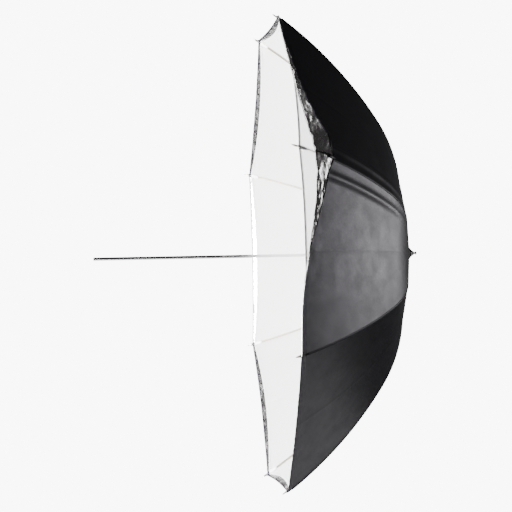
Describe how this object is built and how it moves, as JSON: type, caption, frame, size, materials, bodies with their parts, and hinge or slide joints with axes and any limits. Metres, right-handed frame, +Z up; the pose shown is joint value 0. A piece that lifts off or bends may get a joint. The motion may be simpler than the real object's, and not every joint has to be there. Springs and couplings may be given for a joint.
{
  "type": "umbrella reflector",
  "caption": "Folding studio umbrella: white canopy on sprung ribs, removable black cover with a silver inside, and a straight steel shaft for a stand's umbrella holder.",
  "frame": {"origin": "on the shaft's axis, 130 mm from its free end, in the stretch that an umbrella holder grips", "axes": "+X along the shaft towards the canopy's apex, so the canopy opens towards -X; +Z up, in the middle of the top gore"},
  "size_m": [0.695, 0.9794, 0.9794],
  "materials": {
    "shaft_steel": "polished drawn tube",
    "plug_rubber": "moulded, matt",
    "hub_plastic": "moulded",
    "wire_steel": "drawn wire",
    "cap_plastic": "moulded",
    "ferrule_metal": "turned",
    "pin_steel": "drawn pin",
    "runner_plastic": "moulded",
    "spring_steel": "bent strip",
    "rib_steel": "rolled channel, plated",
    "stretcher_steel": "rolled channel, plated",
    "canopy_cloth": "white translucent woven nylon",
    "cover_cloth": "black woven polyester outside, crinkled silver coating inside"
  },
  "bodies": {
    "shaft_frame": {"shaft": "shaft_steel", "shaft_end_plug": "plug_rubber", "crown": "hub_plastic", "crown_wire": "wire_steel", "top_cap": "cap_plastic", "ferrule": "ferrule_metal", "stop_pin": "pin_steel"},
    "runner": {"runner": "runner_plastic"},
    "catch": {"catch_spring": "spring_steel"},
    "rib_1": {"rib_1": "rib_steel"},
    "stretcher_1": {"stretcher_1": "stretcher_steel"},
    "panel_1a": {"canopy_panel_1a": "canopy_cloth", "cover_panel_1a": "cover_cloth"},
    "panel_1b": {"canopy_panel_1b": "canopy_cloth", "cover_panel_1b": "cover_cloth"},
    "rib_2": {"rib_2": "rib_steel"},
    "stretcher_2": {"stretcher_2": "stretcher_steel"},
    "panel_2a": {"canopy_panel_2a": "canopy_cloth", "cover_panel_2a": "cover_cloth"},
    "panel_2b": {"canopy_panel_2b": "canopy_cloth", "cover_panel_2b": "cover_cloth"},
    "rib_3": {"rib_3": "rib_steel"},
    "stretcher_3": {"stretcher_3": "stretcher_steel"},
    "panel_3a": {"canopy_panel_3a": "canopy_cloth", "cover_panel_3a": "cover_cloth"},
    "panel_3b": {"canopy_panel_3b": "canopy_cloth", "cover_panel_3b": "cover_cloth"},
    "rib_4": {"rib_4": "rib_steel"},
    "stretcher_4": {"stretcher_4": "stretcher_steel"},
    "panel_4a": {"canopy_panel_4a": "canopy_cloth", "cover_panel_4a": "cover_cloth"},
    "panel_4b": {"canopy_panel_4b": "canopy_cloth", "cover_panel_4b": "cover_cloth"},
    "rib_5": {"rib_5": "rib_steel"},
    "stretcher_5": {"stretcher_5": "stretcher_steel"},
    "panel_5a": {"canopy_panel_5a": "canopy_cloth", "cover_panel_5a": "cover_cloth"},
    "panel_5b": {"canopy_panel_5b": "canopy_cloth", "cover_panel_5b": "cover_cloth"},
    "rib_6": {"rib_6": "rib_steel"},
    "stretcher_6": {"stretcher_6": "stretcher_steel"},
    "panel_6a": {"canopy_panel_6a": "canopy_cloth", "cover_panel_6a": "cover_cloth"},
    "panel_6b": {"canopy_panel_6b": "canopy_cloth", "cover_panel_6b": "cover_cloth"},
    "rib_7": {"rib_7": "rib_steel"},
    "stretcher_7": {"stretcher_7": "stretcher_steel"},
    "panel_7a": {"canopy_panel_7a": "canopy_cloth", "cover_panel_7a": "cover_cloth"},
    "panel_7b": {"canopy_panel_7b": "canopy_cloth", "cover_panel_7b": "cover_cloth"},
    "rib_8": {"rib_8": "rib_steel"},
    "stretcher_8": {"stretcher_8": "stretcher_steel"},
    "panel_8a": {"canopy_panel_8a": "canopy_cloth", "cover_panel_8a": "cover_cloth"},
    "panel_8b": {"canopy_panel_8b": "canopy_cloth", "cover_panel_8b": "cover_cloth"}
  },
  "joints": [
    {"name": "runner_slide", "type": "slide", "parent": "shaft_frame", "child": "runner", "axis": [-1, 0, 0], "range_m": [0, 0.28759], "deforming": ["catch_spring", "canopy_panel_1a", "cover_panel_1a", "canopy_panel_1b", "cover_panel_1b", "canopy_panel_2a", "cover_panel_2a", "canopy_panel_2b", "cover_panel_2b", "canopy_panel_3a", "cover_panel_3a", "canopy_panel_3b", "cover_panel_3b", "canopy_panel_4a", "cover_panel_4a", "canopy_panel_4b", "cover_panel_4b", "canopy_panel_5a", "cover_panel_5a", "canopy_panel_5b", "cover_panel_5b", "canopy_panel_6a", "cover_panel_6a", "canopy_panel_6b", "cover_panel_6b", "canopy_panel_7a", "cover_panel_7a", "canopy_panel_7b", "cover_panel_7b", "canopy_panel_8a", "cover_panel_8a", "canopy_panel_8b", "cover_panel_8b"]},
    {"name": "catch_press", "type": "slide", "parent": "shaft_frame", "child": "catch", "axis": [0, 0, -1], "range_m": [0, 0.0024], "stiffness_N_per_m": 300},
    {"name": "rib_1_fold", "type": "hinge", "parent": "shaft_frame", "child": "rib_1", "pos_m": [0.543, -0.00306, 0.00739], "axis": [0, -0.9239, -0.3827], "range_deg": [0, 58]},
    {"name": "stretcher_1_fold", "type": "hinge", "parent": "rib_1", "child": "stretcher_1", "pos_m": [0.50868, -0.07523, 0.18162], "axis": [0, 0.9239, 0.3827], "range_deg": [0, 116]},
    {"name": "panel_1a_pleat", "type": "hinge", "parent": "rib_1", "child": "panel_1a", "pos_m": [0.543, 0, 0.00866], "axis": [0.2427, 0.6322, 0.7358], "range_deg": [0, 27.71]},
    {"name": "panel_1b_pleat", "type": "hinge", "parent": "rib_1", "child": "panel_1b", "pos_m": [0.543, -0.00612, 0.00612], "axis": [-0.2427, 0.9673, -0.0733], "range_deg": [0, 27.71]},
    {"name": "rib_2_fold", "type": "hinge", "parent": "shaft_frame", "child": "rib_2", "pos_m": [0.543, -0.00739, 0.00306], "axis": [0, -0.3827, -0.9239], "range_deg": [0, 58]},
    {"name": "stretcher_2_fold", "type": "hinge", "parent": "rib_2", "child": "stretcher_2", "pos_m": [0.50868, -0.18162, 0.07523], "axis": [0, 0.3827, 0.9239], "range_deg": [0, 116]},
    {"name": "panel_2a_pleat", "type": "hinge", "parent": "rib_2", "child": "panel_2a", "pos_m": [0.543, -0.00612, 0.00612], "axis": [0.2427, -0.0733, 0.9673], "range_deg": [0, 27.71]},
    {"name": "panel_2b_pleat", "type": "hinge", "parent": "rib_2", "child": "panel_2b", "pos_m": [0.543, -0.00866, 0], "axis": [-0.2427, 0.7358, 0.6322], "range_deg": [0, 27.71]},
    {"name": "rib_3_fold", "type": "hinge", "parent": "shaft_frame", "child": "rib_3", "pos_m": [0.543, -0.00739, -0.00306], "axis": [0, 0.3827, -0.9239], "range_deg": [0, 58]},
    {"name": "stretcher_3_fold", "type": "hinge", "parent": "rib_3", "child": "stretcher_3", "pos_m": [0.50868, -0.18162, -0.07523], "axis": [0, -0.3827, 0.9239], "range_deg": [0, 116]},
    {"name": "panel_3a_pleat", "type": "hinge", "parent": "rib_3", "child": "panel_3a", "pos_m": [0.543, -0.00866, 0], "axis": [0.2427, -0.7358, 0.6322], "range_deg": [0, 27.71]},
    {"name": "panel_3b_pleat", "type": "hinge", "parent": "rib_3", "child": "panel_3b", "pos_m": [0.543, -0.00612, -0.00612], "axis": [-0.2427, 0.0733, 0.9673], "range_deg": [0, 27.71]},
    {"name": "rib_4_fold", "type": "hinge", "parent": "shaft_frame", "child": "rib_4", "pos_m": [0.543, -0.00306, -0.00739], "axis": [0, 0.9239, -0.3827], "range_deg": [0, 58]},
    {"name": "stretcher_4_fold", "type": "hinge", "parent": "rib_4", "child": "stretcher_4", "pos_m": [0.50868, -0.07523, -0.18162], "axis": [0, -0.9239, 0.3827], "range_deg": [0, 116]},
    {"name": "panel_4a_pleat", "type": "hinge", "parent": "rib_4", "child": "panel_4a", "pos_m": [0.543, -0.00612, -0.00612], "axis": [0.2427, -0.9673, -0.0733], "range_deg": [0, 27.71]},
    {"name": "panel_4b_pleat", "type": "hinge", "parent": "rib_4", "child": "panel_4b", "pos_m": [0.543, 0, -0.00866], "axis": [-0.2427, -0.6322, 0.7358], "range_deg": [0, 27.71]},
    {"name": "rib_5_fold", "type": "hinge", "parent": "shaft_frame", "child": "rib_5", "pos_m": [0.543, 0.00306, -0.00739], "axis": [0, 0.9239, 0.3827], "range_deg": [0, 58]},
    {"name": "stretcher_5_fold", "type": "hinge", "parent": "rib_5", "child": "stretcher_5", "pos_m": [0.50868, 0.07523, -0.18162], "axis": [0, -0.9239, -0.3827], "range_deg": [0, 116]},
    {"name": "panel_5a_pleat", "type": "hinge", "parent": "rib_5", "child": "panel_5a", "pos_m": [0.543, 0, -0.00866], "axis": [0.2427, -0.6322, -0.7358], "range_deg": [0, 27.71]},
    {"name": "panel_5b_pleat", "type": "hinge", "parent": "rib_5", "child": "panel_5b", "pos_m": [0.543, 0.00612, -0.00612], "axis": [-0.2427, -0.9673, 0.0733], "range_deg": [0, 27.71]},
    {"name": "rib_6_fold", "type": "hinge", "parent": "shaft_frame", "child": "rib_6", "pos_m": [0.543, 0.00739, -0.00306], "axis": [0, 0.3827, 0.9239], "range_deg": [0, 58]},
    {"name": "stretcher_6_fold", "type": "hinge", "parent": "rib_6", "child": "stretcher_6", "pos_m": [0.50868, 0.18162, -0.07523], "axis": [0, -0.3827, -0.9239], "range_deg": [0, 116]},
    {"name": "panel_6a_pleat", "type": "hinge", "parent": "rib_6", "child": "panel_6a", "pos_m": [0.543, 0.00612, -0.00612], "axis": [0.2427, 0.0733, -0.9673], "range_deg": [0, 27.71]},
    {"name": "panel_6b_pleat", "type": "hinge", "parent": "rib_6", "child": "panel_6b", "pos_m": [0.543, 0.00866, 0], "axis": [-0.2427, -0.7358, -0.6322], "range_deg": [0, 27.71]},
    {"name": "rib_7_fold", "type": "hinge", "parent": "shaft_frame", "child": "rib_7", "pos_m": [0.543, 0.00739, 0.00306], "axis": [0, -0.3827, 0.9239], "range_deg": [0, 58]},
    {"name": "stretcher_7_fold", "type": "hinge", "parent": "rib_7", "child": "stretcher_7", "pos_m": [0.50868, 0.18162, 0.07523], "axis": [0, 0.3827, -0.9239], "range_deg": [0, 116]},
    {"name": "panel_7a_pleat", "type": "hinge", "parent": "rib_7", "child": "panel_7a", "pos_m": [0.543, 0.00866, 0], "axis": [0.2427, 0.7358, -0.6322], "range_deg": [0, 27.71]},
    {"name": "panel_7b_pleat", "type": "hinge", "parent": "rib_7", "child": "panel_7b", "pos_m": [0.543, 0.00612, 0.00612], "axis": [-0.2427, -0.0733, -0.9673], "range_deg": [0, 27.71]},
    {"name": "rib_8_fold", "type": "hinge", "parent": "shaft_frame", "child": "rib_8", "pos_m": [0.543, 0.00306, 0.00739], "axis": [0, -0.9239, 0.3827], "range_deg": [0, 58]},
    {"name": "stretcher_8_fold", "type": "hinge", "parent": "rib_8", "child": "stretcher_8", "pos_m": [0.50868, 0.07523, 0.18162], "axis": [0, 0.9239, -0.3827], "range_deg": [0, 116]},
    {"name": "panel_8a_pleat", "type": "hinge", "parent": "rib_8", "child": "panel_8a", "pos_m": [0.543, 0.00612, 0.00612], "axis": [0.2427, 0.9673, 0.0733], "range_deg": [0, 27.71]},
    {"name": "panel_8b_pleat", "type": "hinge", "parent": "rib_8", "child": "panel_8b", "pos_m": [0.543, 0, 0.00866], "axis": [-0.2427, 0.6322, -0.7358], "range_deg": [0, 27.71]}
  ],
  "couplings": [
    {"joint": "rib_1_fold", "follows": "runner_slide", "rad_per_m": 3.5199},
    {"joint": "stretcher_1_fold", "follows": "runner_slide", "rad_per_m": 7.0398},
    {"joint": "panel_1a_pleat", "follows": "runner_slide", "rad_per_m": 1.6815},
    {"joint": "panel_1b_pleat", "follows": "runner_slide", "rad_per_m": 1.6815},
    {"joint": "rib_2_fold", "follows": "runner_slide", "rad_per_m": 3.5199},
    {"joint": "stretcher_2_fold", "follows": "runner_slide", "rad_per_m": 7.0398},
    {"joint": "panel_2a_pleat", "follows": "runner_slide", "rad_per_m": 1.6815},
    {"joint": "panel_2b_pleat", "follows": "runner_slide", "rad_per_m": 1.6815},
    {"joint": "rib_3_fold", "follows": "runner_slide", "rad_per_m": 3.5199},
    {"joint": "stretcher_3_fold", "follows": "runner_slide", "rad_per_m": 7.0398},
    {"joint": "panel_3a_pleat", "follows": "runner_slide", "rad_per_m": 1.6815},
    {"joint": "panel_3b_pleat", "follows": "runner_slide", "rad_per_m": 1.6815},
    {"joint": "rib_4_fold", "follows": "runner_slide", "rad_per_m": 3.5199},
    {"joint": "stretcher_4_fold", "follows": "runner_slide", "rad_per_m": 7.0398},
    {"joint": "panel_4a_pleat", "follows": "runner_slide", "rad_per_m": 1.6815},
    {"joint": "panel_4b_pleat", "follows": "runner_slide", "rad_per_m": 1.6815},
    {"joint": "rib_5_fold", "follows": "runner_slide", "rad_per_m": 3.5199},
    {"joint": "stretcher_5_fold", "follows": "runner_slide", "rad_per_m": 7.0398},
    {"joint": "panel_5a_pleat", "follows": "runner_slide", "rad_per_m": 1.6815},
    {"joint": "panel_5b_pleat", "follows": "runner_slide", "rad_per_m": 1.6815},
    {"joint": "rib_6_fold", "follows": "runner_slide", "rad_per_m": 3.5199},
    {"joint": "stretcher_6_fold", "follows": "runner_slide", "rad_per_m": 7.0398},
    {"joint": "panel_6a_pleat", "follows": "runner_slide", "rad_per_m": 1.6815},
    {"joint": "panel_6b_pleat", "follows": "runner_slide", "rad_per_m": 1.6815},
    {"joint": "rib_7_fold", "follows": "runner_slide", "rad_per_m": 3.5199},
    {"joint": "stretcher_7_fold", "follows": "runner_slide", "rad_per_m": 7.0398},
    {"joint": "panel_7a_pleat", "follows": "runner_slide", "rad_per_m": 1.6815},
    {"joint": "panel_7b_pleat", "follows": "runner_slide", "rad_per_m": 1.6815},
    {"joint": "rib_8_fold", "follows": "runner_slide", "rad_per_m": 3.5199},
    {"joint": "stretcher_8_fold", "follows": "runner_slide", "rad_per_m": 7.0398},
    {"joint": "panel_8a_pleat", "follows": "runner_slide", "rad_per_m": 1.6815},
    {"joint": "panel_8b_pleat", "follows": "runner_slide", "rad_per_m": 1.6815}
  ]
}
